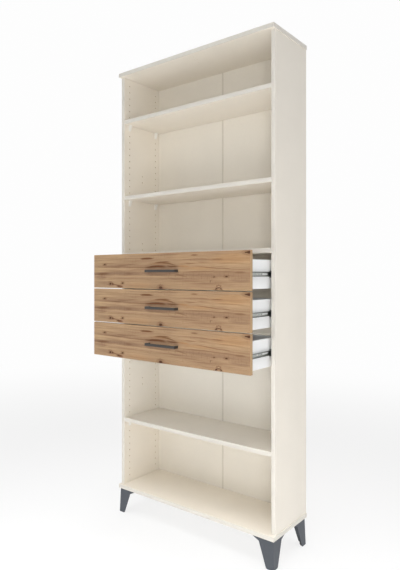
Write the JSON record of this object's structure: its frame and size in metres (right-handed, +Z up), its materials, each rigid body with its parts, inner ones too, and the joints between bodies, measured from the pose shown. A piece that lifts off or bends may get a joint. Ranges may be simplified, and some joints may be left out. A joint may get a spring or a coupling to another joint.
{
  "type": "bookcase with drawers",
  "caption": "Tall open bookcase with line-bored sides and adjustable shelves, wide overlay drawers on ball-bearing runners at mid-height, and folded steel legs.",
  "frame": {"origin": "on the floor, below the middle of the whole object's box with its drawers standing open as at rest", "axes": "+Z up, front towards -Y, +X to the right seen from the front"},
  "size_m": [0.9, 0.478, 2.212],
  "materials": {
    "case_board": "cream laminate, satin",
    "back_board": "cream laminate, matt",
    "oak_front": "rustic oak decor, matt",
    "drawer_board": "white foil, satin",
    "anthracite_steel": "anthracite powder coat",
    "zinc_steel": "zinc plated",
    "screw_steel": "bright zinc",
    "cam_steel": "die-cast zinc",
    "cage_plastic": "black",
    "support_plastic": "cream",
    "strip_plastic": "cream",
    "glide_plastic": "black",
    "dowel_wood": "beech"
  },
  "bodies": {
    "case": {"left_side_panel": "case_board", "right_side_panel": "case_board", "top_panel": "case_board", "bottom_panel": "case_board", "back_panel_left": "back_board", "back_panel_right": "back_board", "back_joining_strip": "strip_plastic", "shelf_1": "case_board", "shelf_2": "case_board", "shelf_3": "case_board", "shelf_4": "case_board", "shelf_supports": "support_plastic", "leg_front_left": "anthracite_steel", "leg_front_right": "anthracite_steel", "leg_rear_left": "anthracite_steel", "leg_rear_right": "anthracite_steel", "leg_screws": "screw_steel", "leg_glides": "glide_plastic", "case_screws": "screw_steel", "case_dowels": "dowel_wood", "runner_case_screws": "screw_steel", "drawer_1_outer_runners": "zinc_steel", "drawer_2_outer_runners": "zinc_steel", "drawer_3_outer_runners": "zinc_steel"},
    "drawer_1": {"drawer_1_front": "oak_front", "drawer_1_handle": "anthracite_steel", "drawer_1_handle_screws": "screw_steel", "drawer_1_side_left": "drawer_board", "drawer_1_side_right": "drawer_board", "drawer_1_back": "drawer_board", "drawer_1_bottom": "drawer_board", "drawer_1_cams": "cam_steel", "drawer_1_inner_runners": "zinc_steel", "drawer_1_runner_screws": "screw_steel"},
    "cage_1": {"drawer_1_ball_cages": "cage_plastic"},
    "drawer_2": {"drawer_2_front": "oak_front", "drawer_2_handle": "anthracite_steel", "drawer_2_handle_screws": "screw_steel", "drawer_2_side_left": "drawer_board", "drawer_2_side_right": "drawer_board", "drawer_2_back": "drawer_board", "drawer_2_bottom": "drawer_board", "drawer_2_cams": "cam_steel", "drawer_2_inner_runners": "zinc_steel", "drawer_2_runner_screws": "screw_steel"},
    "cage_2": {"drawer_2_ball_cages": "cage_plastic"},
    "drawer_3": {"drawer_3_front": "oak_front", "drawer_3_handle": "anthracite_steel", "drawer_3_handle_screws": "screw_steel", "drawer_3_side_left": "drawer_board", "drawer_3_side_right": "drawer_board", "drawer_3_back": "drawer_board", "drawer_3_bottom": "drawer_board", "drawer_3_cams": "cam_steel", "drawer_3_inner_runners": "zinc_steel", "drawer_3_runner_screws": "screw_steel"},
    "cage_3": {"drawer_3_ball_cages": "cage_plastic"}
  },
  "joints": [
    {"name": "drawer_1_slide", "type": "slide", "parent": "case", "child": "drawer_1", "axis": [0, -1, 0], "range_m": [-0.165, 0.01]},
    {"name": "cage_1_slide", "type": "slide", "parent": "case", "child": "cage_1", "axis": [0, -1, 0], "range_m": [-0.0825, 0.005]},
    {"name": "drawer_2_slide", "type": "slide", "parent": "case", "child": "drawer_2", "axis": [0, -1, 0], "range_m": [-0.165, 0.01]},
    {"name": "cage_2_slide", "type": "slide", "parent": "case", "child": "cage_2", "axis": [0, -1, 0], "range_m": [-0.0825, 0.005]},
    {"name": "drawer_3_slide", "type": "slide", "parent": "case", "child": "drawer_3", "axis": [0, -1, 0], "range_m": [-0.165, 0.01]},
    {"name": "cage_3_slide", "type": "slide", "parent": "case", "child": "cage_3", "axis": [0, -1, 0], "range_m": [-0.0825, 0.005]}
  ],
  "couplings": [
    {"joint": "cage_1_slide", "follows": "drawer_1_slide", "ratio": 0.5},
    {"joint": "cage_2_slide", "follows": "drawer_2_slide", "ratio": 0.5},
    {"joint": "cage_3_slide", "follows": "drawer_3_slide", "ratio": 0.5}
  ]
}
